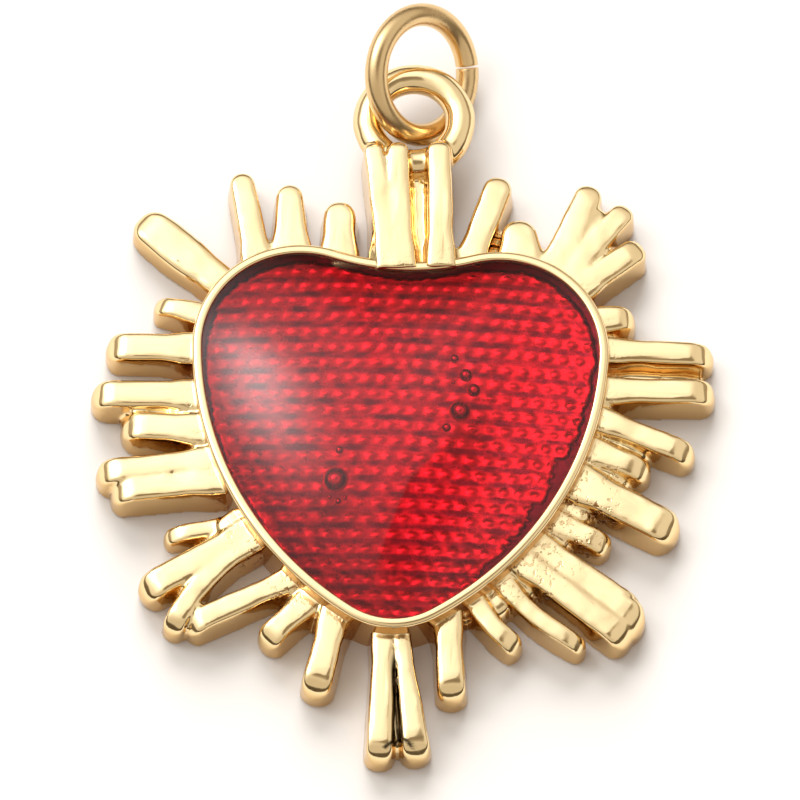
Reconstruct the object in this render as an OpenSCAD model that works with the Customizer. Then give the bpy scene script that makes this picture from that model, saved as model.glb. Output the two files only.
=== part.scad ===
// Heart pendant: a cast sunburst with a rimmed heart, a domed enamel filling and a jump ring.
// It lies on its flat back. +Z is the face's normal, +Y points to the loop it hangs by.
// The origin is the middle of the heart, on the back.

/* [Heart] */
// Radius of each lobe of the enamel field
lobe_r = 3.45; // [3.2:0.05:3.7]
// Distance of each lobe's centre from the middle line
lobe_x = 3.45; // [3.2:0.05:3.7]
// Length of the enamel field, from the tops of the lobes to the lower tip
heart_l = 13.5; // [12.5:0.1:14.5]
// Depth of the cleft below the tops of the lobes
cleft_depth = 0.5; // [0.3:0.05:0.8]
// Radius of the rounded lower tip
tip_r = 2.6; // [2.2:0.1:3]
// Radius of the long flanks
flank_r = 11.6; // [11:0.1:13]

/* [Rim and bed] */
// Height of the rim above the back
rim_h = 2.2; // [2:0.05:2.6]
// Thickness of the rim
rim_w = 0.35; // [0.25:0.05:0.5]
// Bevel on the rim's outer edge
rim_bevel = 0.15; // [0.05:0.05:0.2]
// Thickness of the metal under the enamel
floor_h = 1.1; // [0.8:0.05:1.3]
// Spacing of the ridges across the bed
ridge_pitch = 0.55; // [0.5:0.05:0.8]
// Height of the ridges
ridge_h = 0.2; // [0.1:0.05:0.3]
// Width of the plain margin between the ridges and the rim
bed_margin = 0.3; // [0.2:0.05:0.6]

/* [Enamel] */
// Height of the enamel's dome above the rim
dome_h = 1.4; // [0.8:0.1:1.8]

/* [Rays] */
// Height of an ordinary ray above the back
ray_h = 1.5; // [1.3:0.05:1.7]
// Radius of the rounding along the edges of a ray's flat top
ray_round = 0.4; // [0.25:0.05:0.5]
// Length of the stem rays, from the rim to the middle of the loop's lower wire
stem_l = 3.9; // [3.4:0.1:4.6]
// Run of the stem rays onto the loop
stem_lap = 0.6; // [0.4:0.1:0.8]

/* [Loop] */
// Radius of the loop's centre line
loop_r = 1.6; // [1.5:0.05:1.9]
// Diameter of the loop's wire
loop_wire = 1.05; // [0.9:0.05:1.1]
// Distance of the loop's centre from the middle line
loop_x = 0.2; // [0:0.05:0.4]

/* [Jump ring] */
// Radius of the ring's centre line
ring_r = 2.1; // [2:0.05:2.6]
// Diameter of the ring's wire
ring_wire = 0.8; // [0.7:0.05:0.85]
// Width of the cut where the ring was closed
ring_cut = 0.08; // [0.05:0.01:0.2]
// Turn of the ring about its own long axis
ring_turn = 41; // [39:1:46]
// Slope of the ring's long axis over the back
ring_lean = 22; // [20:1:24]
// Clear height that the ring's wire has under the loop
ring_play = 0.175; // [0.15:0.005:0.3]

/* [Hidden] */
$fn = 64;

gold = [0.87, 0.72, 0.42];
red = [0.72, 0.07, 0.13];

// Steps along half the heart: cleft, lobe, flank and lower tip
cleft_steps = 3;
lobe_steps = 14;
flank_steps = 7;
tip_steps = 4;

// The heart's outline is a chain of tangent arcs, worked out for its right half
lobe_c = [lobe_x, heart_l / 2 - lobe_r];
tip_c = [0, tip_r - heart_l / 2];
cleft_y = heart_l / 2 - cleft_depth;
cleft_rise = cleft_y - lobe_c.y;
cleft_r = (lobe_x ^ 2 + cleft_rise ^ 2 - lobe_r ^ 2) / (2 * (lobe_r - cleft_rise));
cleft_c = [0, cleft_y + cleft_r];
flank_c = tangent_centre(tip_c, flank_r - tip_r, lobe_c, flank_r - lobe_r);

// Centre of a circle that lies at the distances ra from a and rb from b, on the left of the line from a to b
function tangent_centre(a, ra, b, rb) =
    let(d = norm(b - a), u = (b - a) / d)
    let(x = (ra ^ 2 - rb ^ 2 + d ^ 2) / (2 * d), h = sqrt(ra ^ 2 - x ^ 2))
    a + x * u + h * [-u.y, u.x];

function direction(v) = atan2(v.y, v.x);

function arc(c, r, a0, a1, steps) =
    [for (i = [0:steps - 1]) let(a = a0 + (a1 - a0) * i / steps) c + r * [cos(a), sin(a)]];

// Right half of the outline, from the cleft clockwise to the lower tip, moved outwards by out
function half_heart(out) = concat(
    arc(cleft_c, cleft_r - out, -90, direction(lobe_c - cleft_c), cleft_steps),
    arc(lobe_c, lobe_r + out, direction(cleft_c - lobe_c), direction(lobe_c - flank_c), lobe_steps),
    arc(flank_c, flank_r + out, direction(lobe_c - flank_c), direction(tip_c - flank_c), flank_steps),
    arc(tip_c, tip_r + out, direction(tip_c - flank_c), -90, tip_steps),
    [tip_c - [0, tip_r + out]]);

// Whole outline, counter-clockwise
function heart(out) =
    let(right = half_heart(out), n = len(right))
    concat([for (i = [n - 1:-1:0]) right[i]], [for (i = [1:n - 2]) [-right[i].x, right[i].y]]);

// Point where a line from the origin in the direction a crosses the outline
function heart_at(a, out) =
    let(p = heart(out), n = len(p), u = [cos(a), sin(a)])
    [for (i = [0:n - 1])
        let(q = p[i], e = p[(i + 1) % n] - q, den = u.x * e.y - u.y * e.x)
        let(t = (q.x * e.y - q.y * e.x) / den, s = (q.x * u.y - q.y * u.x) / den)
        if (t > 0 && s >= 0 && s < 1) t * u][0];

// Solid through rings of points that all have the same count, closed at both ends
module loft(rings) {
    n = len(rings[0]);
    m = len(rings);
    points = [for (r = rings) each r];
    sides = [for (j = [0:m - 2], i = [0:n - 1])
        let(k = (i + 1) % n) [j * n + i, (j + 1) * n + i, (j + 1) * n + k, j * n + k]];
    first = [for (i = [0:n - 1]) i];
    last = [for (i = [n - 1:-1:0]) (m - 1) * n + i];
    polyhedron(points = points, faces = concat([first], sides, [last]));
}

// Solid through heart outlines, each given as [distance outwards, height]
module heart_loft(levels) {
    loft([for (l = levels) [for (p = heart(l[0])) [p.x, p.y, l[1]]]]);
}

// Each ray: angle of its root seen from the origin, direction, reach beyond the rim,
// width at the tip, width at the root, change of direction along it, height over ray_h.
stem_reach = stem_l + stem_lap;
stem_rise = 0.65;
rays = [
    // Stem rays that carry the loop
    [79, 93, stem_reach, 0.9, 0.9, 0, stem_rise],
    [91, 93, stem_reach, 0.9, 0.95, 0, stem_rise],
    [94, 100, stem_reach, 0.8, 0.9, 0, stem_rise],
    [93, 93, stem_l - 0.1, 1.45, 1.45, 0, stem_rise - 0.15],
    // Top, from the loop round to the left
    [108, 91, 2.2, 1.05, 1.15, 0, 0],
    [119, 93, 2.6, 0.85, 1.25, 0, 0],
    [127, 102, 3.4, 0.85, 0.95, 0, 0],
    [136, 141, 4.0, 1.15, 0.95, 0, 0],
    // Left side, downwards
    [146, 168, 1.7, 0.65, 0.7, 0, -0.1],
    [155, 180, 3.0, 1.05, 1.0, 0, 0],
    [167, 181, 3.6, 1.0, 1.0, 0, 0],
    [177, 178, 2.8, 1.05, 1.0, 0, 0],
    [187, 188, 4.0, 0.9, 0.9, 0, 0],
    [194, 188, 3.8, 0.9, 0.9, 0, 0],
    [209, 192, 2.7, 0.6, 0.65, 0, -0.4],
    // Lower left, with a forked ray
    [214, 212, 4.3, 1.05, 1.0, 0, -0.1],
    [217, 216, 4.5, 0.75, 0.8, 30, -0.1],
    [235, 207, 4.0, 0.9, 0.8, 0, -0.1],
    [244, 226, 2.3, 0.95, 0.8, 0, -0.1],
    [253, 258, 3.0, 1.05, 0.9, 0, 0],
    // Lower tip, two rays cast together
    [268, 270, 4.6, 0.95, 0.7, 0, 0],
    [273, 279, 4.5, 1.0, 0.5, 0, 0],
    // Lower right, two bowed and then two cast together
    [287, 275, 3.0, 1.0, 0.85, 0, 0],
    [297, 300, 2.3, 0.8, 0.6, 30, -0.1],
    [308, 307, 3.8, 0.65, 0.65, 30, -0.1],
    [317, 324, 4.7, 0.95, 0.85, 0, 0],
    [325, 327, 4.25, 0.85, 0.85, 0, 0],
    [335, 338, 2.1, 0.85, 0.75, 0, -0.2],
    // Right side, upwards
    [350, 334, 3.9, 1.25, 1.25, 0, 0],
    [1, 340, 2.2, 0.85, 0.85, 0, -0.1],
    [10, 340, 3.5, 0.85, 0.8, 0, 0],
    [18, 2, 3.8, 0.95, 0.9, 0, 0],
    [28, 0, 3.7, 0.85, 0.85, 0, 0],
    [36, 5, 1.3, 0.85, 0.75, 0, 0],
    // Upper right, with a forked ray
    [45, 39, 2.9, 0.95, 0.95, 0, 0],
    [49, 53, 3.6, 0.85, 0.95, 0, 0],
    [52, 69, 3.6, 0.95, 1.15, 0, 0],
    [60, 94, 1.6, 1.2, 1.3, 0, 0],
    [72, 72, 3.5, 0.9, 0.9, 0, 0],
    // Webs between rays that are cast together: lower tip, lower right, upper right
    [270.5, 274.4, 4.1, 0.6, 0.5, 0, -0.4],
    [321, 325.5, 4.1, 0.7, 0.7, 0, -0.1],
    [50.5, 61, 2.6, 0.7, 1.0, 0, -0.05],
];

// Depth to which a ray's root is let into the rim
ray_root = rim_w + 0.15;
// Angles round the rounding of a ray's edge, and round its tip seen from above
edge_angles = [0, 30, 60, 90];
tip_angles = [35, 65, 85];
// Share of a ray's half width that its roundings may take
edge_share = 0.8;

// Point at the distance s along a ray that starts at root and bends evenly over its reach
function along(root, aim, bend, reach, s) =
    let(a = aim + bend * s / reach, r = bend == 0 ? 0 : reach / (bend * PI / 180))
    bend == 0 ? root + s * [cos(aim), sin(aim)] : root + r * [sin(a) - sin(aim), cos(aim) - cos(a)];

// Cross-section of a ray: upright sides and a flat top with rounded edges
function ray_section(at, heading, half_w, h) =
    let(side = [-sin(heading), cos(heading)], r = min(ray_round, edge_share * half_w))
    let(half = concat([[half_w, 0]], [for (a = edge_angles) [half_w - r + r * cos(a), h - r + r * sin(a)]]))
    let(n = len(half), whole = concat(half, [for (i = [n - 1:-1:0]) [-half[i].x, half[i].y]]))
    [for (p = whole) [at.x + side.x * p.x, at.y + side.y * p.x, p.y]];

module ray(row) {
    root = heart_at(row[0], rim_w);
    aim = row[1];
    reach = row[2];
    tip_half = row[3] / 2;
    root_half = row[4] / 2;
    bend = row[5];
    h = ray_h + row[6];
    body_l = reach - tip_half;
    body_steps = bend == 0 ? 1 : 4;
    body = [for (i = [0:body_steps])
        let(s = i == 0 ? -ray_root : body_l * i / body_steps)
        let(w = root_half + (tip_half - root_half) * max(s, 0) / body_l)
        ray_section(along(root, aim, bend, reach, s), aim + bend * s / reach, w, h)];
    tip = [for (a = tip_angles)
        let(past = tip_half * sin(a), s = body_l + past, w = tip_half * cos(a))
        let(fall = max(past - tip_half + ray_round, 0), top = h - ray_round + sqrt(ray_round ^ 2 - fall ^ 2))
        ray_section(along(root, aim, bend, reach, s), aim + bend * s / reach, w, top)];
    loft(concat(body, tip));
}

// Ridges across the bed, cut off at the margin inside the rim
ridge_base = ridge_pitch * 0.8;
ridge_top = ridge_pitch * 0.35;
module ridges() {
    rows = floor(heart_l / 2 / ridge_pitch);
    intersection() {
        for (i = [-rows:rows])
            translate([0, i * ridge_pitch, floor_h])
                rotate([90, 0, 90])
                    linear_extrude(2 * (lobe_x + lobe_r), center = true)
                        polygon([
                            [-ridge_base / 2, 0],
                            [ridge_base / 2, 0],
                            [ridge_top / 2, ridge_h],
                            [-ridge_top / 2, ridge_h]]);
        translate([0, 0, floor_h])
            linear_extrude(ridge_h)
                polygon(heart(-bed_margin));
    }
}

// Loop: it stands over the back by its wire's half and the ring's wire under it
loop_z = loop_wire / 2 + ring_wire + ring_play;
loop_c = [loop_x, cleft_y + rim_w + stem_l + loop_r, loop_z];
module loop() {
    translate(loop_c)
        rotate_extrude()
            translate([loop_r, 0])
                circle(d = loop_wire);
}

module casting() {
    color(gold) {
        difference() {
            union() {
                heart_loft([[rim_w, 0], [rim_w, rim_h - rim_bevel], [rim_w - rim_bevel, rim_h]]);
                for (row = rays) ray(row);
                loop();
            }
            translate([0, 0, floor_h])
                linear_extrude(rim_h)
                    polygon(heart(0));
        }
        ridges();
    }
}

// Share of the outline's size at each ring of the dome, from the rim to the top
dome_shares = [1, 0.93, 0.82, 0.66, 0.46, 0.22];
dome_power = 2.4;
module enamel() {
    outline = heart(0);
    wall = [[for (p = outline) [p.x, p.y, floor_h]]];
    dome = [for (k = dome_shares)
        [for (p = outline) [p.x * k, p.y * k, rim_h + dome_h * (1 - k ^ dome_power)]]];
    color(red)
        difference() {
            loft(concat(wall, dome));
            ridges();
        }
}

// The ring passes through the loop below its centre and rests on what the back rests on
ring_v = [cos(ring_turn), sin(ring_turn) * sin(ring_lean), -sin(ring_turn) * cos(ring_lean)];
ring_u = [0, cos(ring_lean), sin(ring_lean)];
ring_drop = norm([ring_u.z, ring_v.z]);
ring_lift = 0.03;
ring_z = ring_r * ring_drop + ring_wire / 2 + ring_lift;
// Place of the ring's wire in the loop's hole, in shares of the play that it has there
cross_shares = [-0.3, -0.6, 0];
loop_play = loop_r - loop_wire / 2 - ring_wire / 2;
cross_at = loop_c + loop_play * cross_shares;
cross_angle = 180 + atan2(-ring_v.z, ring_u.z) + asin((ring_z - loop_z) / (ring_r * ring_drop));
ring_c = cross_at - ring_r * (cos(cross_angle) * ring_v + sin(cross_angle) * ring_u);
cut_at = 5;
cut_angle = ring_cut / ring_r * 180 / PI;
module jump_ring() {
    color(gold)
        translate(ring_c)
            rotate([ring_lean, 0, 0])
                rotate([0, ring_turn, 0])
                    rotate([0, 0, cut_at + cut_angle / 2])
                        rotate_extrude(angle = 360 - cut_angle)
                            translate([ring_r, 0])
                                circle(d = ring_wire);
}

casting();
enamel();
jump_ring();
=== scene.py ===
import bpy
import bmesh
import math
from mathutils import Matrix, Vector, noise


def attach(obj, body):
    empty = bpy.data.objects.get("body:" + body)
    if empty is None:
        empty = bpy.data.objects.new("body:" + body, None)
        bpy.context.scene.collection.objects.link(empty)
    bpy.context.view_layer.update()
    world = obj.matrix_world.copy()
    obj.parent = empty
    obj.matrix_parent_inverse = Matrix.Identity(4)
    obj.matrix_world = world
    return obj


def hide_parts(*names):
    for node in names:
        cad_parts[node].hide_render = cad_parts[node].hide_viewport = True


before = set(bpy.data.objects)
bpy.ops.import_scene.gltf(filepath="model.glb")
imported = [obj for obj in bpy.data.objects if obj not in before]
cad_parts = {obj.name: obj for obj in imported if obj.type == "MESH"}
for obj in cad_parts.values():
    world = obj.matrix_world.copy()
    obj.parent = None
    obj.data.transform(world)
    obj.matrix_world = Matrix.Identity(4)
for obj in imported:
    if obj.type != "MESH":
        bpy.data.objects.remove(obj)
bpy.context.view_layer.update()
print("frame loaded")

mm = 0.001  # every piece is modelled in millimetres and scaled to metres when it is finished


# helpers

def polar(angle, reach=1.0, height=0.0):
    a = math.radians(angle)
    return Vector((reach * math.cos(a), reach * math.sin(a), height))


def heading(v):
    return math.degrees(math.atan2(v[1], v[0]))


def smoothStep(edge0, edge1, x):
    t = max(0.0, min(1.0, (x - edge0) / (edge1 - edge0)))
    return t * t * (3 - 2 * t)


def makePiece(name, bm, materials, node, body, sharpAngle=None, masks=None):
    bm.normal_update()
    values = {mask: [weigh(v) for v in bm.verts] for mask, weigh in (masks or {}).items()}
    bmesh.ops.scale(bm, vec=(mm, mm, mm), verts=bm.verts)
    mesh = bpy.data.meshes.new(name)
    bm.to_mesh(mesh)
    bm.free()
    for mask, weights in values.items():  # read by the materials
        layer = mesh.attributes.new(mask, "FLOAT", "POINT")
        layer.data.foreach_set("value", weights)
    for material in materials:
        mesh.materials.append(material)
    mesh.shade_smooth()
    if sharpAngle:
        mesh.set_sharp_from_angle(angle=math.radians(sharpAngle))
    piece = bpy.data.objects.new(name, mesh)
    bpy.context.scene.collection.objects.link(piece)
    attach(piece, body)
    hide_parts(node)
    print(name, "made,", len(mesh.polygons), "faces")


def addNode(tree, kind, **settings):
    made = tree.nodes.new(kind)
    for key, value in settings.items():
        setattr(made, key, value)
    return made


def newMaterial(name):
    material = bpy.data.materials.new(name)
    material.use_nodes = True
    tree = material.node_tree
    tree.nodes.clear()
    output = addNode(tree, "ShaderNodeOutputMaterial")
    shader = addNode(tree, "ShaderNodeBsdfPrincipled")
    tree.links.new(shader.outputs["BSDF"], output.inputs["Surface"])
    coords = addNode(tree, "ShaderNodeTexCoord")
    return material, tree, shader, coords.outputs["Object"]


def addNoise(tree, coords, scale, detail=3.0, roughness=0.5):
    made = addNode(tree, "ShaderNodeTexNoise")
    made.inputs["Scale"].default_value = scale
    made.inputs["Detail"].default_value = detail
    made.inputs["Roughness"].default_value = roughness
    tree.links.new(coords, made.inputs["Vector"])
    return made.outputs["Fac"]


def addRange(tree, value, fromMin, fromMax, toMin, toMax, smooth=False):
    made = addNode(tree, "ShaderNodeMapRange")
    if smooth:
        made.interpolation_type = "SMOOTHSTEP"
    made.inputs["From Min"].default_value = fromMin
    made.inputs["From Max"].default_value = fromMax
    made.inputs["To Min"].default_value = toMin
    made.inputs["To Max"].default_value = toMax
    tree.links.new(value, made.inputs["Value"])
    return made.outputs["Result"]


def addMix(tree, factor, colorA, colorB):
    # each colour is three numbers or the output of another node
    made = addNode(tree, "ShaderNodeMix", data_type="RGBA")
    factorSocket, socketA, socketB, result = made.inputs[0], made.inputs[6], made.inputs[7], made.outputs[2]
    tree.links.new(factor, factorSocket)
    for socket, color in ((socketA, colorA), (socketB, colorB)):
        if isinstance(color, tuple):
            socket.default_value = (*color, 1)
        else:
            tree.links.new(color, socket)
    return result


def addMask(tree, name):
    return addNode(tree, "ShaderNodeAttribute", attribute_name=name).outputs["Fac"]


def addMath(tree, operation, a, b, clamp=False):
    made = addNode(tree, "ShaderNodeMath", operation=operation, use_clamp=clamp)
    for socket, value in zip(made.inputs, (a, b)):
        if isinstance(value, (int, float)):
            socket.default_value = value
        else:
            tree.links.new(value, socket)
    return made.outputs[0]


def addBump(tree, height, distance, strength=1.0, under=None):
    made = addNode(tree, "ShaderNodeBump")
    made.inputs["Strength"].default_value = strength
    made.inputs["Distance"].default_value = distance
    tree.links.new(height, made.inputs["Height"])
    if under:
        tree.links.new(under, made.inputs["Normal"])
    return made.outputs["Normal"]


# camera, at the height and roll of the photograph

cameraSettings = {
    "elevation": 68, "roll": 2, "distance": 1000, "sensor": 36, "clipStart": 0.01,
    "frameWidth": 800, "pixelsPerMm": 28.8,
    "middle": (396.7, 460),  # where the heart's middle lies in the picture
}


def makeCamera():
    c = cameraSettings
    el, roll = math.radians(c["elevation"]), math.radians(c["roll"])
    right = Vector((math.cos(roll), math.sin(roll) * math.sin(el), math.sin(roll) * math.cos(el)))
    up = Vector((-math.sin(roll), math.cos(roll) * math.sin(el), math.cos(roll) * math.cos(el)))
    back = right.cross(up)
    shiftX = (c["frameWidth"] / 2 - c["middle"][0]) / c["pixelsPerMm"]
    shiftY = (c["middle"][1] - c["frameWidth"] / 2) / c["pixelsPerMm"]
    place = right * shiftX + up * shiftY + back * c["distance"]
    data = bpy.data.cameras.new("camera")
    data.sensor_width = c["sensor"]
    data.lens = c["pixelsPerMm"] * c["sensor"] * c["distance"] / c["frameWidth"]
    data.clip_start = c["clipStart"]
    camera = bpy.data.objects.new("camera", data)
    camera.matrix_world = Matrix((
        (right.x, up.x, back.x, place.x * mm),
        (right.y, up.y, back.y, place.y * mm),
        (right.z, up.z, back.z, place.z * mm),
        (0, 0, 0, 1)))
    bpy.context.scene.collection.objects.link(camera)
    bpy.context.scene.camera = camera


makeCamera()
print("camera placed")


# studio light: a soft box high on the left, pale walls, and a straight-edged darker patch overhead

lightSettings = {
    "base": 0.68,
    "nearSide": 0.85, "nearFrom": 0.3, "nearTo": 0.7,  # the walls darken towards the front and the back
    "farSide": 0.5, "farFrom": 0.75, "farTo": 0.95,
    "lobes": [  # soft boxes: direction, strength, spread in degrees
        ((-0.57, 0.33, 0.75), 6.8, 12),
        ((-0.60, 0.30, 0.74), 1.5, 24),
        ((-0.20, 0.62, 0.76), 0.35, 22),
        ((-0.08, 0.42, 0.90), 0.35, 16),
        ((0.80, 0.25, 0.55), 0.06, 25),
    ],
    "patchDirection": (0.14, -0.08, 1.0), "patchInner": 4, "patchOuter": 28, "patchLight": 0.34,
    "patchEdge": (0.818, -0.575, 0.0), "edgeFrom": -0.01, "edgeTo": 0.02,
    "lowFrom": 0.26, "lowTo": 0.37, "lowLight": 0.16,  # a dark band near the floor draws the thin dark lines
    "lowBehind": 0.6, "frontFrom": -0.2, "frontTo": 0.3, "floorEdge": -0.02,
    "warm": (1.0, 0.78, 0.52), "white": (1.0, 0.995, 0.985), "warmBelow": 0.95,
    "exposure": 0.2,
    "sunFrom": (-0.11, 0.85, 0.50), "sunStrength": 4.5, "sunAngle": 42,
}


def makeLight():
    s = lightSettings
    world = bpy.data.worlds.new("studio")
    bpy.context.scene.world = world
    world.use_nodes = True
    tree = world.node_tree
    tree.nodes.clear()
    direction = addNode(tree, "ShaderNodeTexCoord").outputs["Generated"]

    def product(a, b):
        return addMath(tree, "MULTIPLY", a, b)

    def cosineTo(towards):
        made = addNode(tree, "ShaderNodeVectorMath", operation="DOT_PRODUCT")
        tree.links.new(direction, made.inputs[0])
        made.inputs[1].default_value = Vector(towards).normalized()
        return made.outputs["Value"]

    total = None
    for towards, strength, spread in s["lobes"]:
        sharpness = 1 / (1 - math.cos(math.radians(spread)))
        away = addMath(tree, "SUBTRACT", cosineTo(towards), 1)
        lobe = product(addMath(tree, "EXPONENT", product(away, sharpness), 0), strength)
        total = lobe if total is None else addMath(tree, "ADD", total, lobe)
    near = addRange(tree, cosineTo((0, -1, 0)), s["nearFrom"], s["nearTo"], 1, s["nearSide"], smooth=True)
    far = addRange(tree, cosineTo((0, 1, 0)), s["farFrom"], s["farTo"], 1, s["farSide"], smooth=True)
    total = addMath(tree, "ADD", total, product(product(near, far), s["base"]))

    patch = addRange(tree, cosineTo(s["patchDirection"]), math.cos(math.radians(s["patchOuter"])),
                     math.cos(math.radians(s["patchInner"])), 0, 1, smooth=True)
    patch = product(patch, addRange(tree, cosineTo(s["patchEdge"]), s["edgeFrom"], s["edgeTo"], 0, 1))
    total = product(total, addRange(tree, patch, 0, 1, 1, s["patchLight"]))

    height = cosineTo((0, 0, 1))
    low = addRange(tree, height, s["lowFrom"], s["lowTo"], 1, 0, smooth=True)
    front = addRange(tree, cosineTo((0, -1, 0)), s["frontFrom"], s["frontTo"], s["lowBehind"], 1, smooth=True)
    aboveFloor = addRange(tree, height, s["floorEdge"], 0, 0, 1)
    band = product(product(low, front), aboveFloor)
    total = product(total, addRange(tree, band, 0, 1, 1, s["lowLight"]))

    background = addNode(tree, "ShaderNodeBackground")
    tint = addMix(tree, addRange(tree, total, 0, s["warmBelow"], 0, 1), s["warm"], s["white"])
    tree.links.new(tint, background.inputs["Color"])
    tree.links.new(total, background.inputs["Strength"])
    output = addNode(tree, "ShaderNodeOutputWorld")
    tree.links.new(background.outputs[0], output.inputs["Surface"])

    # a wide lamp behind throws the soft shadows, and the metal and the glass don't mirror it
    sun = bpy.data.lights.new("backWindow", "SUN")
    sun.energy = s["sunStrength"]
    sun.angle = math.radians(s["sunAngle"])
    lamp = bpy.data.objects.new("backWindow", sun)
    lamp.rotation_euler = Vector(s["sunFrom"]).to_track_quat("Z", "Y").to_euler()
    lamp.visible_glossy = False
    lamp.visible_transmission = False
    bpy.context.scene.collection.objects.link(lamp)

    view = bpy.context.scene.view_settings
    view.view_transform = "Standard"
    view.exposure = s["exposure"]


makeLight()


floorSettings = {
    "size": 600, "below": 0.02, "color": (0.56, 0.54, 0.52), "shadeScale": 90, "shade": 0.985,
    "roughness": 0.9, "gloss": 0.1,
    "glowColor": (0.62, 0.50, 0.42), "glow": 0.12,  # fills the shadows with a little warmth
}


def makeFloor():
    f = floorSettings
    material, tree, shader, coords = newMaterial("paleFloor")
    shaded = tuple(c * f["shade"] for c in f["color"])
    mixed = addMix(tree, addNoise(tree, coords, f["shadeScale"]), shaded, f["color"])
    tree.links.new(mixed, shader.inputs["Base Color"])
    shader.inputs["Roughness"].default_value = f["roughness"]
    shader.inputs["Specular IOR Level"].default_value = f["gloss"]
    shader.inputs["Emission Color"].default_value = (*f["glowColor"], 1)
    shader.inputs["Emission Strength"].default_value = f["glow"]
    bm = bmesh.new()
    bmesh.ops.create_grid(bm, x_segments=4, y_segments=4, size=f["size"] / 2 * mm)
    bmesh.ops.translate(bm, vec=(0, 0, -f["below"] * mm), verts=bm.verts)
    mesh = bpy.data.meshes.new("floor")
    bm.to_mesh(mesh)
    bm.free()
    mesh.materials.append(material)
    floor = bpy.data.objects.new("floor", mesh)
    bpy.context.scene.collection.objects.link(floor)


makeFloor()
print("studio made")


# materials

goldSettings = {
    "bright": (1.0, 0.80, 0.46), "deep": (0.98, 0.74, 0.39), "smooth": 0.06, "worn": 0.15,
    # the wire colours are darker than the cast ones as painted shade on the ring, and the wire is rougher
    "wireBright": (0.88, 0.65, 0.34), "wireDeep": (0.76, 0.54, 0.27), "wireSmooth": 0.2, "wireWorn": 0.3,
    "toneScale": 350, "wearScale": 900, "wearFrom": 0.35, "wearTo": 0.7,
    "rippleScale": 700, "rippleDepth": 0.02, "grainScale": 6000, "grainDepth": 0.002, "skinStrength": 0.4,
    # painted shade: the shaded colours darken the walls towards the floor, the root colour darkens them near
    # the rim, and the near-black colour fills the valley of the lower pair
    "wallHigh": (0.80, 0.56, 0.26), "wallLow": (0.68, 0.44, 0.19), "lowFrom": 0.1, "lowTo": 1.3,
    "rootShadeColor": (0.60, 0.34, 0.14), "valleyShade": (0.03, 0.018, 0.008),
    "pit": (0.30, 0.13, 0.04), "pitScale": 5200, "pitFrom": 0.38, "pitTo": 0.46,
    "crustScale": 1700, "crustFrom": 0.44, "crustTo": 0.60, "pitDepth": 0.03, "pitStrength": 0.8,
}


def makeGold(name, cast):
    g = goldSettings
    material, tree, shader, coords = newMaterial(name)
    if cast:
        deep, bright, smooth, worn = g["deep"], g["bright"], g["smooth"], g["worn"]
    else:
        deep, bright, smooth, worn = g["wireDeep"], g["wireBright"], g["wireSmooth"], g["wireWorn"]
    plating = addMix(tree, addNoise(tree, coords, g["toneScale"], 2), deep, bright)
    ripple = addNoise(tree, coords, g["rippleScale"], 1)
    ripple = addBump(tree, ripple, g["rippleDepth"] * mm, g["skinStrength"])
    grain = addNoise(tree, coords, g["grainScale"], 2)
    grain = addBump(tree, grain, g["grainDepth"] * mm, g["skinStrength"], under=ripple)
    wear = addNoise(tree, coords, g["wearScale"], 4)
    roughness = addRange(tree, wear, g["wearFrom"], g["wearTo"], smooth, worn)
    if cast:
        # painted shade: the walls between the rays are darker, more so towards the floor and near the rim,
        # the valley of the lower pair is near-black, and the skin is pitted near some roots
        height = addNode(tree, "ShaderNodeSeparateXYZ")
        tree.links.new(coords, height.inputs[0])
        up = addRange(tree, height.outputs["Z"], g["lowFrom"] * mm, g["lowTo"] * mm, 0, 1)
        wall = addMix(tree, up, g["wallLow"], g["wallHigh"])
        wall = addMix(tree, addMask(tree, "nearRimShade"), wall, g["rootShadeColor"])
        plating = addMix(tree, addMask(tree, "wall"), plating, wall)
        # near-black painted shade in the valley of the lower pair
        plating = addMix(tree, addMask(tree, "valleyShade"), plating, g["valleyShade"])
        holes = addNoise(tree, coords, g["pitScale"], 2, 0.55)
        holes = addRange(tree, holes, g["pitFrom"], g["pitTo"], 1, 0, smooth=True)
        crust = addNoise(tree, coords, g["crustScale"], 3, 0.6)
        crust = addRange(tree, crust, g["crustFrom"], g["crustTo"], 1, 0, smooth=True)
        holes = addMath(tree, "MULTIPLY", addMath(tree, "MULTIPLY", holes, crust), addMask(tree, "pitting"))
        plating = addMix(tree, holes, plating, g["pit"])
        skin = addRange(tree, holes, 0, 1, 1, 0)
        grain = addBump(tree, skin, g["pitDepth"] * mm, g["pitStrength"], under=grain)
    tree.links.new(plating, shader.inputs["Base Color"])
    shader.inputs["Metallic"].default_value = 1.0
    tree.links.new(roughness, shader.inputs["Roughness"])
    tree.links.new(grain, shader.inputs["Normal"])
    return material


castGold = makeGold("castGold", True)
wireGold = makeGold("wireGold", False)


redSettings = {
    "bed": ((0.92, 0.046, 0.08), (0.16, 0.018, 0.038), 0.3),  # bright and deep tone, roughness; the bed's mask mixes them into painted highlight and painted shade, with random tone
    # the edge colours are a dark red painted shade for the margin of the bed and the inside of the rim
    "edge": ((0.20, 0.028, 0.055), (0.15, 0.02, 0.04), 0.4),
    "bedMetal": 0.8, "toneScale": 2500, "toneSpread": 0.12, "roughScale": 4000,
    "bubble": ((0.62, 0.04, 0.08), (0.78, 0.06, 0.11)), "bubbleScale": 3000, "bubbleMetal": 0.85,
    "bubbleRough": 0.12,
    "glass": ((0.94, 0.11, 0.17), (1.0, 0.14, 0.20)), "glassScale": 120, "glassIor": 1.42,
    "swellScale": 500, "swellDepth": 0.006, "swellStrength": 0.4,
}


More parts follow.
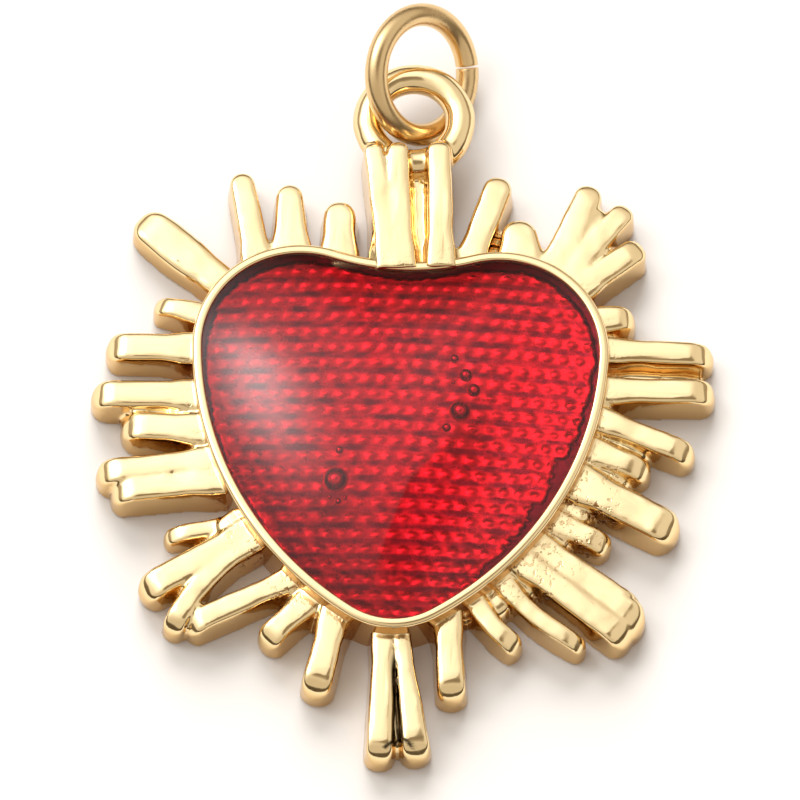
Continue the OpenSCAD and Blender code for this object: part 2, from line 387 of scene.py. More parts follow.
def makeBedRed(name, bright, deep, roughness):
    r = redSettings
    material, tree, shader, coords = newMaterial(name)
    tone = addNoise(tree, coords, r["toneScale"], 3)
    spread = addRange(tree, tone, 0.3, 0.7, -r["toneSpread"], r["toneSpread"])
    # painted light and shade of the bed, with random tone
    weaveToneAndPaintedLight = addMath(tree, "ADD", addMask(tree, "weaveToneAndPaintedLight"), spread, clamp=True)
    tree.links.new(addMix(tree, weaveToneAndPaintedLight, deep, bright), shader.inputs["Base Color"])
    shader.inputs["Metallic"].default_value = r["bedMetal"]
    rough = addNoise(tree, coords, r["roughScale"], 2)
    rough = addRange(tree, rough, 0.3, 0.7, roughness * 0.8, roughness * 1.2)
    tree.links.new(rough, shader.inputs["Roughness"])
    return material


bedRed = makeBedRed("bedRed", *redSettings["bed"])
edgeShadeRed = makeBedRed("edgeShadeRed", *redSettings["edge"])


def makeBubbleRed():
    r = redSettings
    material, tree, shader, coords = newMaterial("bubbleRed")
    tone = addNoise(tree, coords, r["bubbleScale"], 2)
    tree.links.new(addMix(tree, tone, *r["bubble"]), shader.inputs["Base Color"])
    shader.inputs["Metallic"].default_value = r["bubbleMetal"]
    shader.inputs["Roughness"].default_value = r["bubbleRough"]
    return material


bubbleRed = makeBubbleRed()


def makeGlassRed():
    r = redSettings
    material, tree, shader, coords = newMaterial("glassRed")
    tone = addNoise(tree, coords, r["glassScale"], 2)
    tree.links.new(addMix(tree, tone, *r["glass"]), shader.inputs["Base Color"])
    shader.inputs["Roughness"].default_value = 0.0
    shader.inputs["IOR"].default_value = r["glassIor"]
    shader.inputs["Transmission Weight"].default_value = 1.0
    swell = addNoise(tree, coords, r["swellScale"], 1)
    swell = addBump(tree, swell, r["swellDepth"] * mm, r["swellStrength"])
    tree.links.new(swell, shader.inputs["Normal"])
    return material


glassRed = makeGlassRed()
print("materials made")


# the heart's outline, a chain of arcs that meet smoothly

heart = {
    "lobeRadius": 3.45, "lobeX": 3.45, "length": 13.5, "cleftDepth": 0.5,
    "tipRadius": 2.6, "flankRadius": 11.6, "halvesMerge": 0.0005,
    "steps": (6, 30, 44, 10),  # along the tip, the flank, the lobe and the cleft
}


def tangentCentre(a, ra, b, rb):
    d = (b - a).length
    u = (b - a) / d
    x = (ra ** 2 - rb ** 2 + d ** 2) / (2 * d)
    h = math.sqrt(ra ** 2 - x ** 2)
    return a + x * u + h * Vector((-u.y, u.x, 0))


top = heart["length"] / 2
lobeCentre = Vector((heart["lobeX"], top - heart["lobeRadius"], 0))
tipCentre = Vector((0, heart["tipRadius"] - top, 0))
cleftY = top - heart["cleftDepth"]
cleftRise = cleftY - lobeCentre.y
cleftRadius = heart["lobeX"] ** 2 + cleftRise ** 2 - heart["lobeRadius"] ** 2
cleftRadius /= 2 * (heart["lobeRadius"] - cleftRise)
cleftCentre = Vector((0, cleftY + cleftRadius, 0))
flankCentre = tangentCentre(tipCentre, heart["flankRadius"] - heart["tipRadius"],
                            lobeCentre, heart["flankRadius"] - heart["lobeRadius"])
flankStart = heading(tipCentre - flankCentre)
lobeStart = heading(lobeCentre - flankCentre)
lobeEnd = heading(cleftCentre - lobeCentre)
cleftStart = heading(lobeCentre - cleftCentre)


def heartDistance(x, y):
    # distance outside the outline, below zero inside it
    p = Vector((abs(x), y, 0))
    if heading(p - cleftCentre) < cleftStart and p.y > 0:
        return cleftRadius - (p - cleftCentre).length
    if heading(p - tipCentre) < flankStart:
        return (p - tipCentre).length - heart["tipRadius"]
    if heading(p - flankCentre) < lobeStart:
        return (p - flankCentre).length - heart["flankRadius"]
    return (p - lobeCentre).length - heart["lobeRadius"]


def heartPoint(angle, out):
    # point of the outline, moved outwards by out, seen from the origin at that angle, found by halving
    near, far = 2.0, 12.0
    for halving in range(30):
        middle = (near + far) / 2
        p = polar(angle, middle)
        if heartDistance(p.x, p.y) < out:
            near = middle
        else:
            far = middle
    return polar(angle, near)


def edgesOf(verts):
    return list({e for v in verts for e in v.link_edges})


def heartFace(bm, out, z):
    # one vertex is spun along the arcs of one half, and the half is mirrored
    start = bmesh.ops.create_vert(bm, co=tipCentre + Vector((0, -heart["tipRadius"] - out, z)))["vert"][0]
    arcs = [
        (tipCentre, flankStart + 90), (flankCentre, lobeStart - flankStart),
        (lobeCentre, lobeEnd - lobeStart), (cleftCentre, -90 - cleftStart),
    ]
    verts = [start]
    last = start
    for (centre, angle), count in zip(arcs, heart["steps"]):
        before = set(bm.verts)
        made = bmesh.ops.spin(bm, geom=[last], cent=centre + Vector((0, 0, z)), axis=(0, 0, 1),
                              angle=math.radians(angle), steps=count)
        last = [g for g in made["geom_last"] if isinstance(g, bmesh.types.BMVert)][0]
        verts += [v for v in bm.verts if v not in before]
    bmesh.ops.mirror(bm, geom=verts + edgesOf(verts), axis="X", merge_dist=heart["halvesMerge"])
    loose = [e for e in bm.edges if not e.link_faces]
    made = bmesh.ops.contextual_create(bm, geom=loose)
    face = made["faces"][0]
    face.normal_update()
    if face.normal.z < 0:
        face.normal_flip()
    return face


def raiseFace(bm, face, rise):
    made = bmesh.ops.extrude_face_region(bm, geom=[face])
    upper = [g for g in made["geom"] if isinstance(g, bmesh.types.BMFace)][0]
    bmesh.ops.translate(bm, vec=(0, 0, rise), verts=upper.verts)
    return upper


def insetFace(bm, face, thickness, depth):
    bmesh.ops.inset_region(bm, faces=[face], use_boundary=True, use_even_offset=True,
                           thickness=thickness, depth=depth)


# rim and floor of the heart

cupSettings = {
    "rimHeight": 2.2, "rimWidth": 0.35, "outerRound": 0.17, "innerRound": 0.08,
    "roundSteps": 6, "floorHeight": 1.0, "innerDraft": 0.004, "redAbove": 0.5,
    "wallBelow": 0.6, "rootShadeShare": 0.7,  # how far the cup's outer side takes the painted shade of the walls and the roots
}


def makeHeartCup():
    c = cupSettings
    bm = bmesh.new()
    base = heartFace(bm, c["rimWidth"], 0)
    upper = raiseFace(bm, base, c["rimHeight"] - c["outerRound"])
    angles = [math.radians(90 * k / c["roundSteps"]) for k in range(c["roundSteps"] + 1)]
    for a0, a1 in zip(angles, angles[1:]):
        insetFace(bm, upper, c["outerRound"] * (math.cos(a0) - math.cos(a1)),
                  c["outerRound"] * (math.sin(a1) - math.sin(a0)))
    insetFace(bm, upper, c["rimWidth"] - c["outerRound"] - c["innerRound"], 0)
    for a0, a1 in zip(angles, angles[1:]):
        insetFace(bm, upper, c["innerRound"] * (math.sin(a1) - math.sin(a0)),
                  c["innerRound"] * (math.cos(a1) - math.cos(a0)))
    inner = c["rimHeight"] - c["innerRound"] - c["floorHeight"]
    insetFace(bm, upper, c["innerDraft"], -inner)
    bmesh.ops.recalc_face_normals(bm, faces=bm.faces)
    # faces inside the rim above the bed take the dark red painted shade
    for face in bm.faces:
        middle = face.calc_center_median()
        within = heartDistance(middle.x, middle.y) < 0.01
        if within and c["redAbove"] < middle.z < c["rimHeight"] - c["innerRound"]:
            face.material_index = 1
    # the cup's outer side takes the painted shade of the walls
    wallTop = c["rimHeight"] - c["wallBelow"] * c["outerRound"]
    makePiece("heartCup", bm, [castGold, edgeShadeRed], "casting", "pendant", sharpAngle=40,
              masks={"wall": lambda v: 1.0 if v.co.z < wallTop else 0.0, "nearRimShade": lambda v: c["rootShadeShare"]})


makeHeartCup()


# woven bed under the enamel: rows of small bumps, every other row shifted by half a pitch

bedSettings = {
    "step": 0.052, "half": 7.3, "overlap": 0.2, "level": 1.12, "bottom": 0.98, "marginDrop": 0.06,
    "rowPitch": 0.55, "bumpPitch": 0.55, "bumpLong": 0.21, "bumpShort": 0.16,
    "bumpHeight": 0.036, "bumpPower": 1.3, "swayHeight": 0.014,
    "sizeVaries": 0.35, "shiftVaries": 0.09, "rowSway": 0.05,
    "margin": 0.33, "wideMargin": 0.3, "topMargin": -0.06, "ragged": 0.16, "wideRagged": 0.26,
    # the spots and the edge line are painted highlights, the stripes between the rows and the circles are
    # painted shade
    "tone": 0.66, "dotHighlight": 0.26, "barShade": 0.82, "rings": 0.07, "innerRingShade": 0.06,
    "lipHighlight": 0.25, "lipWidth": 0.06, "streaks": 0.28, "flecks": 0.12, "rightFlecks": 0.16,
    "paleLow": 0.08, "paleRight": 0.06,
}


def drift(x, y, layer):
    return noise.noise(Vector((x, y, layer)))


def bedPlace(x, y):
    # how far inside the edge of the rows, place within a bump in shares of its size, its size,
    # and how far above the middle of its row
    b = bedSettings
    row = round(y / b["rowPitch"])
    right = smoothStep(0.5, 4.5, x) * smoothStep(3.0, -0.5, y)
    wander = drift(x * 0.3, row * 7.3, 1) + 0.5 * drift(x * 4, y * 6, 3)
    ragged = (b["ragged"] + b["wideRagged"] * right) * wander
    margin = b["margin"] + b["wideMargin"] * right + b["topMargin"] * smoothStep(2.0, 5.0, y)
    inside = -heartDistance(x, y) - margin - ragged
    shift = 0.5 * b["bumpPitch"] * (row % 2) + b["shiftVaries"] * drift(row * 3.1, x * 0.8, 5)
    sway = b["rowSway"] * drift(x * 0.9, row * 2.7, 6)
    across = (x - shift) / b["bumpPitch"]
    cell = round(across)
    size = 1 + b["sizeVaries"] * drift(cell * 5.7, row * 4.3, 2)
    dx = (across - cell) * b["bumpPitch"] / (b["bumpLong"] * size)
    dy = (y - sway - row * b["rowPitch"]) / (b["bumpShort"] * size)
    return inside, dx, dy, size, y / b["rowPitch"] - row


def bedHeight(x, y):
    b = bedSettings
    inside, dx, dy, size, up = bedPlace(x, y)
    field = smoothStep(-0.05, 0.08, inside)
    near = dx * dx + dy * dy
    bump = b["bumpHeight"] * size * (1 - near) ** b["bumpPower"] if near < 1 else 0.0
    sway = b["swayHeight"] * drift(x * 2.2, y * 5, 8)
    return b["level"] - b["marginDrop"] * (1 - field) + field * (bump + sway)


def bedToneAndPaintedLight(x, y):
    # painted light and shade of the red: pale spots on the bumps and a pale line along the field's edge are
    # painted highlights, dark stripes between the rows and faint circles at the lower right are painted
    # shade, with streaks and flecks of random tone; darker towards the bottom, paler towards the right
    b = bedSettings
    inside, dx, dy, size, up = bedPlace(x, y)
    near = math.hypot(dx, dy)
    right = smoothStep(-2.5, 2.5, x - 0.5 * y)
    broken = 0.6 + 0.8 * drift(x * 1.6, round(y / b["rowPitch"] - 0.5) * 3.7, 4)
    broken += 0.35 * right * (1 - broken)
    bar = smoothStep(0.2, 0.4, abs(up)) * broken * b["barShade"]
    ring = smoothStep(0.45, 0.8, near) * (1 - smoothStep(0.95, 1.3, near))
    ring *= b["rings"] * (0.25 + 0.75 * right) * (0.75 + 0.6 * drift(x * 3, y * 3, 9))
    inner = b["innerRingShade"] * right * (1 - smoothStep(0.5, 0.9, near)) * smoothStep(0.12, 0.3, abs(dy))
    dot = (1 - smoothStep(0.2, 0.5, near)) * b["dotHighlight"]
    lipHighlight = b["lipHighlight"] * smoothStep(0.25, 0.05, abs(inside - b["lipWidth"]))
    streak = b["streaks"] * drift(x * 2.5, y * 9, 12) + b["flecks"] * drift(x * 9, y * 6, 13)
    streak += b["rightFlecks"] * right * drift(x * 7, y * 3, 14)
    low = b["paleLow"] * smoothStep(-0.5, -5.0, y) - b["paleRight"] * right
    return max(0.0, min(1.0, b["tone"] + dot + lipHighlight + streak - bar - ring - inner - low))


def makeWovenBed():
    b = bedSettings
    bm = bmesh.new()
    count = round(2 * b["half"] / b["step"])
    bmesh.ops.create_grid(bm, x_segments=count, y_segments=count, size=b["half"])
    outside = [v for v in bm.verts if heartDistance(v.co.x, v.co.y) > b["overlap"]]
    bmesh.ops.delete(bm, geom=outside, context="VERTS")
    for v in bm.verts:
        v.co.z = bedHeight(v.co.x, v.co.y)
    # the lowered margin takes the dark red painted shade
    for face in bm.faces:
        if face.calc_center_median().z < b["level"] - 0.5 * b["marginDrop"]:
            face.material_index = 1
    rimEdges = [e for e in bm.edges if e.is_boundary]
    made = bmesh.ops.extrude_edge_only(bm, edges=rimEdges)
    for v in made["geom"]:
        if isinstance(v, bmesh.types.BMVert):
            v.co.z = b["bottom"]
    lowerEdges = [g for g in made["geom"] if isinstance(g, bmesh.types.BMEdge)]
    bmesh.ops.contextual_create(bm, geom=lowerEdges)
    bmesh.ops.recalc_face_normals(bm, faces=bm.faces)
    makePiece("wovenBed", bm, [bedRed, edgeShadeRed], "casting", "pendant", sharpAngle=80,
              masks={"weaveToneAndPaintedLight": lambda v: bedToneAndPaintedLight(v.co.x, v.co.y)})


makeWovenBed()


# domed enamel with its bubbles

enamelSettings = {
    "edgeOut": 0.01, "bottom": 1.03, "edgeHeight": 2.13, "domeHeight": 3.6, "power": 2.4,
    "shares": [  # size of each ring of the dome against the heart
        0.995, 0.985, 0.97, 0.95, 0.92, 0.88, 0.83, 0.77, 0.70,
        0.62, 0.53, 0.44, 0.35, 0.26, 0.17, 0.09, 0.03,
    ],
    "bubbles": [  # x, y, z, diameter
        (-2.05, -1.91, 2.62, 0.88), (2.10, 0.68, 2.85, 0.74), (1.87, 2.56, 3.05, 0.32),
        (2.27, 1.99, 2.95, 0.48), (1.86, 1.65, 3.2, 0.16), (2.56, 1.45, 2.95, 0.48),
        (1.67, -0.02, 3.1, 0.33), (-1.98, -0.96, 3.05, 0.29),
        (-1.95, -2.75, 2.8, 0.22), (-2.25, -2.6, 2.8, 0.16), (-1.72, -2.62, 2.8, 0.16),
    ],
}


def makeEnamel():
    e = enamelSettings
    bm = bmesh.new()
    base = heartFace(bm, e["edgeOut"], e["bottom"])
    upper = raiseFace(bm, base, e["edgeHeight"] - e["bottom"])
    lastShare = 1.0
    rise = e["domeHeight"] - e["edgeHeight"]
    for share in e["shares"]:
        made = bmesh.ops.extrude_face_region(bm, geom=[upper])
        bmesh.ops.delete(bm, geom=[upper], context="FACES_ONLY")
        upper = [g for g in made["geom"] if isinstance(g, bmesh.types.BMFace)][0]
        factor = share / lastShare
        bmesh.ops.scale(bm, vec=(factor, factor, 1), verts=upper.verts)
        height = e["edgeHeight"] + rise * (1 - share ** e["power"])
        bmesh.ops.translate(bm, vec=(0, 0, height - upper.verts[0].co.z), verts=upper.verts)
        lastShare = share
    bmesh.ops.poke(bm, faces=[upper])
    bmesh.ops.recalc_face_normals(bm, faces=bm.faces)
    for x, y, z, diameter in e["bubbles"]:
        made = bmesh.ops.create_icosphere(bm, subdivisions=4, radius=diameter / 2,
                                          matrix=Matrix.Translation((x, y, z)))
        for face in {f for v in made["verts"] for f in v.link_faces}:
            face.material_index = 1
    makePiece("enamelDome", bm, [glassRed, bubbleRed], "enamel", "pendant", sharpAngle=60)


makeEnamel()


# sunburst of rays round the rim, with the hanging loop

burst = {
    "rayHeight": 1.5, "draft": 0.25, "crown": 0.02, "droop": 0.025, "widen": 1.06, "belly": 0.06,
    "flare": 0.3, "flareLength": 1.1, "rootDepth": 0.3, "rimWidth": 0.35,
    "edgeRound": 0.28, "levelRound": 0.24, "nubRound": 0.38, "lowRightRound": 0.3, "mostRound": 0.4,
    "levelSine": 0.3, "nubReach": 2, "lowRightAims": (290, 345),  # which rays take the other roundings
    "cornerShare": 0.49, "roundSteps": 6,
    "tipLength": 0.78, "tipShare": 0.4, "tipFall": 0.95, "topTips": 0.86, "tipEdge": 0.1, "mostFall": 0.62,
    "stemTipLength": 0.4, "stemTipFall": 0.25, "stemFrom": 0.4,
    "cuts": 9, "tipCuts": (0.85, 0.6, 0.4, 0.25, 0.12), "crownCut": 0.14,
    "coreOut": 0.26, "coreHeight": 1.9, "coreWall": 0.21, "coreFloor": 0.85,
    "coreDraft": 0.004, "coreLift": 0.03,
    "voxel": 0.065, "ease": 0.5, "smoothing": 5, "keepShare": 0.34,
    "sway": 0.03, "fineSway": 0.012, "flatBelow": 0.15,  # the surfaces sway a little, the back stays flat
    "wallSlope": (0.6, 0.15), "rimReach": (1.5, 0.3),  # where the walls and the roots take the painted shade
    "stemLength": 3.9, "stemLap": 0.6, "stemRise": 0.8,
    "loopX": 0.2, "loopRadius": 1.6, "loopWire": 1.05, "ringWire": 0.8, "ringPlay": 0.175,
    "wireSteps": 28, "loopSteps": 72,
}
stemReach = burst["stemLength"] + burst["stemLap"]
loopY = cleftY + burst["rimWidth"] + burst["stemLength"] + burst["loopRadius"]
loopZ = burst["loopWire"] / 2 + burst["ringWire"] + burst["ringPlay"]
loopCentre = Vector((burst["loopX"], loopY, loopZ))

# each ray: root angle, aim, reach, width at the tip, width at the root, bend, height over rayHeight,
# and for some by what share it is wider half way along (the angles are degrees, the sizes millimetres)
rays = [
    (79, 93, stemReach, 0.85, 0.9, 0, burst["stemRise"]),  # stem
    (91, 93, stemReach, 0.78, 0.95, 0, burst["stemRise"]),
    (94, 100, stemReach, 0.68, 0.9, 0, burst["stemRise"]),
    (93, 93, burst["stemLength"] - 0.25, 1.35, 1.45, 0, burst["stemRise"] - 0.13),
    (108, 91, 2.2, 1.05, 1.15, 0, 0),  # top, from the loop round to the left
    (119, 93, 2.6, 0.85, 1.25, 0, 0),
    (127, 102, 3.4, 0.85, 0.95, 0, 0),
    (136, 141, 4.0, 1.15, 0.9, 0, -0.45, 0.4),
    (146, 168, 1.7, 0.65, 0.7, 0, -0.1),  # left side, downwards
    (155, 180, 3.0, 1.05, 1.0, 0, 0),
    (167, 181, 3.6, 1.0, 1.0, 0, 0),
    (177, 178, 2.8, 1.05, 1.0, 0, 0),
    (187, 188, 4.0, 0.9, 0.9, 0, 0),
    (194, 188, 3.8, 0.9, 0.9, 0, 0),
    (209, 192, 2.7, 0.6, 0.65, 0, -0.4),
    (214, 212, 4.3, 1.05, 1.0, 0, -0.1),  # lower left, with a forked ray
    (217, 216, 4.5, 0.75, 0.8, 30, -0.1),
    (235, 207, 4.0, 0.9, 0.8, 0, -0.1),
    (244, 226, 2.3, 0.95, 0.8, 0, -0.1),
    (253, 258, 3.0, 1.05, 0.9, 0, 0),
    (268, 270, 4.6, 0.95, 0.7, 0, 0),  # lower tip, two rays cast together
    (273, 279, 4.5, 1.0, 0.5, 0, 0),
    (287, 275, 3.0, 1.0, 0.85, 0, 0),  # lower right, two bowed and then two cast together
    (297, 300, 2.3, 0.8, 0.6, 30, -0.1),
    (308, 307, 3.8, 0.65, 0.65, 30, -0.1),
    (317, 324, 4.7, 1.0, 0.9, 0, 0.06),
    (325, 327, 4.25, 0.85, 0.85, 0, -0.02),
    (335, 338, 2.1, 0.85, 0.75, 0, -0.2),
    (350, 334, 3.9, 1.25, 1.25, 0, 0),  # right side, upwards
    (1, 340, 2.2, 0.85, 0.85, 0, -0.1),
    (10, 340, 3.5, 0.85, 0.8, 0, 0),
    (18, 2, 3.8, 0.95, 0.9, 0, 0),
    (28, 0, 3.7, 0.85, 0.85, 0, 0),
    (36, 5, 1.3, 0.85, 0.75, 0, 0),
    (45, 39, 2.9, 0.95, 0.95, 0, 0),  # upper right, with a forked ray
    (49, 53, 3.6, 0.85, 0.95, 0, 0),
    (52, 69, 3.6, 0.95, 1.15, 0, 0),
    (60, 94, 1.6, 1.2, 1.3, 0, 0),
    (72, 72, 3.5, 1.0, 0.95, 0, 0),
    (270.5, 274.4, 4.1, 0.6, 0.5, 0, -0.22),  # webs between rays that are cast together
    (321.5, 326, 4.7, 1.5, 1.5, 0, -0.01),
    (50.5, 61, 3.0, 0.75, 1.2, 0, -0.03),
    (47, 47, 1.7, 0.5, 1.0, 0, -0.2),
    (215.5, 215, 2.9, 0.8, 1.0, 12, -0.13),
    (190.5, 188, 3.3, 0.55, 0.8, 0, -0.06),
    (172.5, 180, 2.7, 0.5, 0.6, 0, -0.35),
    (211, 203, 1.1, 0.8, 1.3, 0, -0.2),
    (85.2, 93, 3.4, 0.55, 0.55, 0, 0.1),  # low ones in the slit of the stem and between two level rays
    (23, 1, 3.3, 0.6, 0.6, 0, -0.93),
    (342, 338, 1.1, 0.7, 0.9, 0, -0.3),  # and between the roots at the right
    (355.5, 338, 1.7, 0.7, 0.9, 0, -0.3),
    (5.5, 341, 2.0, 0.7, 0.8, 0, -0.35),
    (329, 331, 1.0, 0.6, 0.8, 0, -0.3),
    (312, 316, 1.2, 0.6, 0.8, 0, -0.3),
    (302, 304, 1.0, 0.6, 0.8, 0, -0.35),
]

# painted shade along the valley of the lower pair, dark lines: start, end, half width, highest height
valleyShade = [
    ((-0.01, -7.1), (0.45, -10.8), 0.11, 1.43),
    ((0.45, -10.8), (-0.05, -11.2), 0.05, 1.6),
    ((0.45, -10.8), (0.90, -11.15), 0.05, 1.6),
]

# rough skin: directions in which it starts, is full, fades and ends, how far it reaches and how strong it is
roughSkin = {
    "right": (300, 315, 350, 362), "rightReach": 1.3,
    "lowerLeft": (205, 213, 240, 250), "lowerLeftReach": 0.5, "lowerLeftShare": 0.7,
    "reach": 0.55, "everywhere": 0.35, "litSide": 0.3,
}


def joinedVerts(known, added):
    # every vertex of the same ray, after a bevel or a cut has replaced some
    seed = [v for v in list(known) + list(added) if v.is_valid]
    found = set(seed)
    while seed:
        v = seed.pop()
        for e in v.link_edges:
            other = e.other_vert(v)
            if other not in found:
                found.add(other)
                seed.append(other)
    return list(found)


def roundEdges(bm, verts, edges, offset):
    made = bmesh.ops.bevel(bm, geom=edges, offset=offset, offset_type="OFFSET", segments=burst["roundSteps"],
                           profile=0.5, affect="EDGES", material=-1, clamp_overlap=True)
    return joinedVerts(verts, made["verts"])


def crownRound(aim, reach):
    first, last = burst["lowRightAims"]
    if first < aim < last:
        return burst["lowRightRound"]
    if reach < burst["nubReach"]:
        return burst["nubRound"]
    if abs(math.sin(math.radians(aim))) < burst["levelSine"]:
        return burst["levelRound"]
    return burst["edgeRound"]


def rayTip(aim, reach, height, isStem):
    # length of the tip and how far it falls, the tips at the top keep their height
    if isStem:
        length, fall = burst["stemTipLength"], burst["stemTipFall"]
    else:
        length = min(burst["tipLength"], burst["tipShare"] * reach)
        fall = burst["tipFall"] * (1 - burst["topTips"] * max(0.0, math.sin(math.radians(aim))))
    return length, min(fall, burst["mostFall"] * height)


def rayBlank(bm, reach, tipWidth, rootWidth, height, rounding, tip):
    # a bar along x with a round end and rounded upper edges, cut across and along so that it can be shaped
    back = burst["rootDepth"]
    verts = bmesh.ops.create_cube(bm, size=1.0)["verts"]
    bmesh.ops.translate(bm, vec=(0.5, 0, 0.5), verts=verts)
    bmesh.ops.scale(bm, vec=(reach + back, 1, height), verts=verts)
    bmesh.ops.translate(bm, vec=(-back, 0, 0), verts=verts)
    for v in verts:
        v.co.y *= tipWidth if v.co.x > reach / 2 else rootWidth
    corners = [e for e in edgesOf(verts)
               if abs(e.verts[0].co.z - e.verts[1].co.z) > 0.1 and e.verts[0].co.x > reach / 2]
    verts = roundEdges(bm, verts, corners, burst["cornerShare"] * tipWidth)
    crown = [e for e in edgesOf(verts) if min(e.verts[0].co.z, e.verts[1].co.z) > height - 0.01
             and max(e.verts[0].co.x, e.verts[1].co.x) > 0.01 - back]
    verts = roundEdges(bm, verts, crown, min(rounding, burst["mostRound"] * min(tipWidth, rootWidth)))
    places = [reach * k / burst["cuts"] for k in range(1, burst["cuts"])]
    places += [reach - tip * share for share in burst["tipCuts"]]
    planes = [((x, 0, 0), (1, 0, 0)) for x in places]
    planes += [((0, burst["crownCut"] * k, 0), (0, 1, 0)) for k in (-1, 0, 1)]
    for place, facing in planes:
        geometry = verts + edgesOf(verts) + list({f for v in verts for f in v.link_faces})
        made = bmesh.ops.bisect_plane(bm, geom=geometry, dist=0.0001, plane_co=place, plane_no=facing)
        verts = joinedVerts(verts, [g for g in made["geom_cut"] if isinstance(g, bmesh.types.BMVert)])
    return verts


def addRay(bm, row):
    rootAngle, aim, reach, tipWidth, rootWidth, bend, rise = row[:7]
    belly = row[7] if len(row) > 7 else burst["belly"]
    height = burst["rayHeight"] + rise
    isStem = rise > burst["stemFrom"]
    root = heartPoint(rootAngle, burst["rimWidth"])
    tip, tipFall = rayTip(aim, reach, height, isStem)
    edge = 0 if isStem else burst["tipEdge"]
    for v in rayBlank(bm, reach, tipWidth, rootWidth, height, crownRound(aim, reach), tip):
        s, t, z = v.co
        along = max(0.0, min(1.0, s / reach))
        half = 0.5 * (rootWidth + (tipWidth - rootWidth) * along)
        # a fingertip, a slightly rounded and falling crown, walls with a draft, a belly and a flared root
        upper = smoothStep(0.25, 1.0, z / height)
        over = max(0.0, min(1.0, (s - reach + tip) / tip))
        fall = tipFall * (edge * over + (1 - edge) * (1 - math.sqrt(1 - over ** 2)))
        if not isStem:
            fall += burst["droop"] * max(0.0, s)
        z -= upper * (fall + burst["crown"] * min(1.0, (t / half) ** 2))
        t *= burst["widen"] * (1 + burst["draft"] * (0.5 - z / height))
        t *= 1 + belly * math.sin(math.pi * along)
        t *= 1 + burst["flare"] * smoothStep(burst["flareLength"], 0, s)
        turn = aim + bend * max(s, 0) / reach
        if bend and s > 0:
            radius = reach / math.radians(bend)
            centre = root + radius * (polar(turn - 90) - polar(aim - 90))
        else:
            centre = root + polar(turn) * s
        v.co = centre + t * polar(turn + 90) + Vector((0, 0, z))


def addLoop(bm):
    side = Matrix.Translation(loopCentre + Vector((burst["loopRadius"], 0, 0)))
    upright = Matrix.Rotation(math.radians(90), 4, "X")
    made = bmesh.ops.create_circle(bm, cap_ends=False, radius=burst["loopWire"] / 2,
                                   segments=burst["wireSteps"], matrix=side @ upright)
    ring = made["verts"]
    bmesh.ops.spin(bm, geom=ring + edgesOf(ring), cent=loopCentre, axis=(0, 0, 1), angle=math.radians(360),
                   steps=burst["loopSteps"], use_merge=True)


# steep faces take the painted shade of the walls
def wallShare(v):
    return smoothStep(*burst["wallSlope"], v.normal.z)


# near the rim the walls take a darker painted shade
def nearRimShadeShare(v):
    return smoothStep(*burst["rimReach"], heartDistance(v.co.x, v.co.y))


def stretch(around, limits):
    start, full, fade, end = limits
    return smoothStep(start, full, around) * (1 - smoothStep(fade, end, around))


def pittingShare(v):
    # near the roots, most of it at the right and the lower left, and more on the sides that face down
    k = roughSkin
    out = heartDistance(v.co.x, v.co.y)
    around = heading(v.co) % 360
    right, lowerLeft = stretch(around, k["right"]), stretch(around, k["lowerLeft"])
    reach = k["reach"] + k["rightReach"] * right + k["lowerLeftReach"] * lowerLeft
    lowSide = k["litSide"] + (1 - k["litSide"]) * smoothStep(0.03, 0.3, -v.normal.y)
    strength = k["everywhere"] + (1 - k["everywhere"]) * max(right, k["lowerLeftShare"] * lowerLeft)
    return lowSide * smoothStep(reach + 0.5, reach - 0.2, out) * strength


# near-black painted shade along the valley of the lower pair, fading above its highest height
def valleyShadeShare(v):
    most = 0.0
    p = Vector((v.co.x, v.co.y, 0))
    for start, end, half, high in valleyShade:
        a, b = Vector((*start, 0)), Vector((*end, 0))
        along = max(0.0, min(1.0, (p - a).dot(b - a) / (b - a).length_squared))
        away = (p - a - along * (b - a)).length
        within = smoothStep(half + 0.05, half - 0.03, away)
        most = max(most, within * smoothStep(high + 0.04, high - 0.04, v.co.z))
    return most


def fuse(bm):
    # the rays, the loop and the core run into each other like a casting
    rough = bpy.data.meshes.new("sunburstRough")
    bm.to_mesh(rough)
    bm.free()
    shell = bpy.data.objects.new("sunburstRough", rough)
    bpy.context.scene.collection.objects.link(shell)
    remesh = shell.modifiers.new("fuse", "REMESH")
    remesh.mode = "VOXEL"
    remesh.voxel_size = burst["voxel"]
    remesh.adaptivity = 0
    ease = shell.modifiers.new("ease", "SMOOTH")
    ease.factor = burst["ease"]
    ease.iterations = burst["smoothing"]
    thin = shell.modifiers.new("thin", "DECIMATE")
    thin.ratio = burst["keepShare"]
    bpy.context.view_layer.update()
    fused = bpy.data.meshes.new_from_object(shell.evaluated_get(bpy.context.evaluated_depsgraph_get()))
    bpy.data.objects.remove(shell)
    bm = bmesh.new()
    bm.from_mesh(fused)
    return bm


def makeSunburst():
    bm = bmesh.new()
    core = heartFace(bm, burst["coreOut"], burst["coreLift"])
    upper = raiseFace(bm, core, burst["coreHeight"])
    insetFace(bm, upper, burst["coreWall"], 0)
    insetFace(bm, upper, burst["coreDraft"], burst["coreFloor"] - burst["coreHeight"])
    for row in rays:
        addRay(bm, row)
    addLoop(bm)
    bmesh.ops.recalc_face_normals(bm, faces=bm.faces)
    bm = fuse(bm)
    bm.normal_update()
    for v in bm.verts:
        if v.co.z > burst["flatBelow"]:
            sway = burst["sway"] * noise.noise(v.co * 0.9)
            sway += burst["fineSway"] * noise.noise(v.co * 2.3)
            v.co += v.normal * sway
    makePiece("sunburst", bm, [castGold], "casting", "pendant",
              masks={"wall": wallShare, "nearRimShade": nearRimShadeShare, "pitting": pittingShare, "valleyShade": valleyShadeShare})


makeSunburst()


# split jump ring through the loop

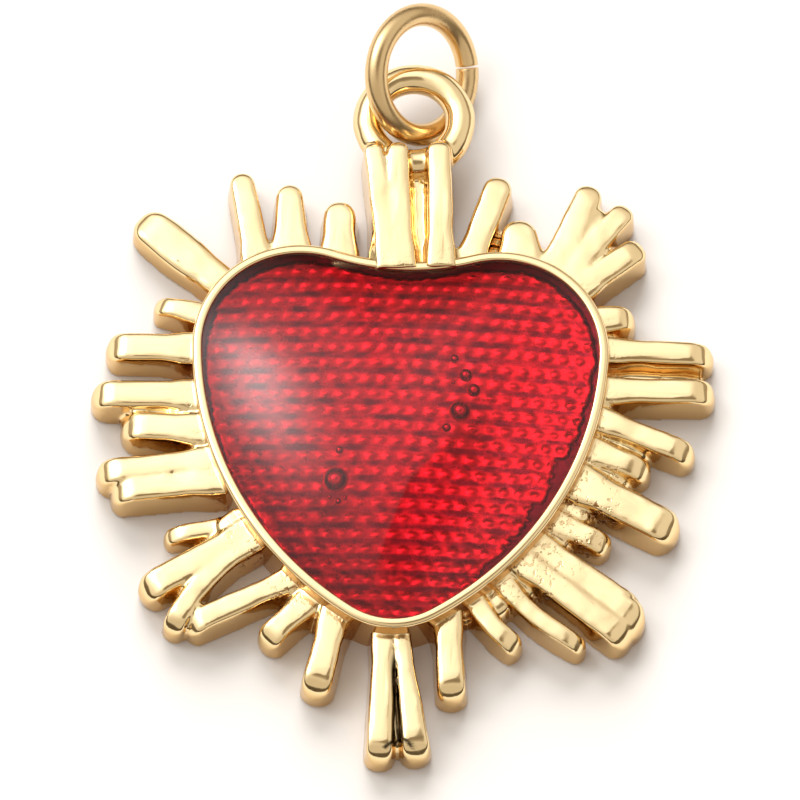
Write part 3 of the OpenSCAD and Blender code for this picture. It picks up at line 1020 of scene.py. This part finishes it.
ringSettings = {
    "radius": 2.1, "wire": 0.8, "cut": 0.08, "cutAt": 9.5, "cutRound": 0.03,
    "turn": 41, "lean": 22, "lift": 0.03, "crossAt": (-0.3, -0.6),  # in shares of its play in the loop
    "wireSteps": 32, "steps": 110,
}


def ringPlace():
    # it passes through the loop a little below its centre and rests on the floor at its low side
    r = ringSettings
    turn, lean = math.radians(r["turn"]), math.radians(r["lean"])
    acrossRing = Vector((math.cos(turn), math.sin(turn) * math.sin(lean), -math.sin(turn) * math.cos(lean)))
    alongRing = Vector((0, math.cos(lean), math.sin(lean)))
    drop = math.hypot(alongRing.z, acrossRing.z)
    play = burst["loopRadius"] - burst["loopWire"] / 2 - r["wire"] / 2
    cross = loopCentre + Vector((*r["crossAt"], 0)) * play
    ringZ = r["radius"] * drop + r["wire"] / 2 + r["lift"]
    crossAngle = math.pi + math.atan2(-acrossRing.z, alongRing.z)
    crossAngle += math.asin((ringZ - loopZ) / (r["radius"] * drop))
    centre = cross - r["radius"] * (math.cos(crossAngle) * acrossRing + math.sin(crossAngle) * alongRing)
    return Matrix.Translation(centre) @ Matrix.Rotation(lean, 4, "X") @ Matrix.Rotation(turn, 4, "Y")


def makeJumpRing():
    r = ringSettings
    bm = bmesh.new()
    gap = math.degrees(r["cut"] / r["radius"])
    start = math.radians(r["cutAt"] + gap / 2)
    side = Matrix.Rotation(start, 4, "Z") @ Matrix.Translation((r["radius"], 0, 0))
    upright = Matrix.Rotation(math.radians(90), 4, "X")
    made = bmesh.ops.create_circle(bm, cap_ends=True, radius=r["wire"] / 2, segments=r["wireSteps"],
                                   matrix=side @ upright)
    disc = made["verts"] + edgesOf(made["verts"])
    bmesh.ops.spin(bm, geom=disc, cent=(0, 0, 0), axis=(0, 0, 1), angle=math.radians(360 - gap),
                   steps=r["steps"])
    openEdges = [e for e in bm.edges if e.is_boundary]
    if openEdges:
        bmesh.ops.holes_fill(bm, edges=openEdges)
    cutEdges = [e for e in bm.edges if any(len(f.verts) > 4 for f in e.link_faces)]
    bmesh.ops.bevel(bm, geom=cutEdges, offset=r["cutRound"], offset_type="OFFSET", segments=3, profile=0.5,
                    affect="EDGES", material=-1)
    bmesh.ops.transform(bm, matrix=ringPlace(), verts=bm.verts)
    bmesh.ops.recalc_face_normals(bm, faces=bm.faces)
    makePiece("jumpRing", bm, [wireGold], "jump_ring", "ring", sharpAngle=50)


makeJumpRing()
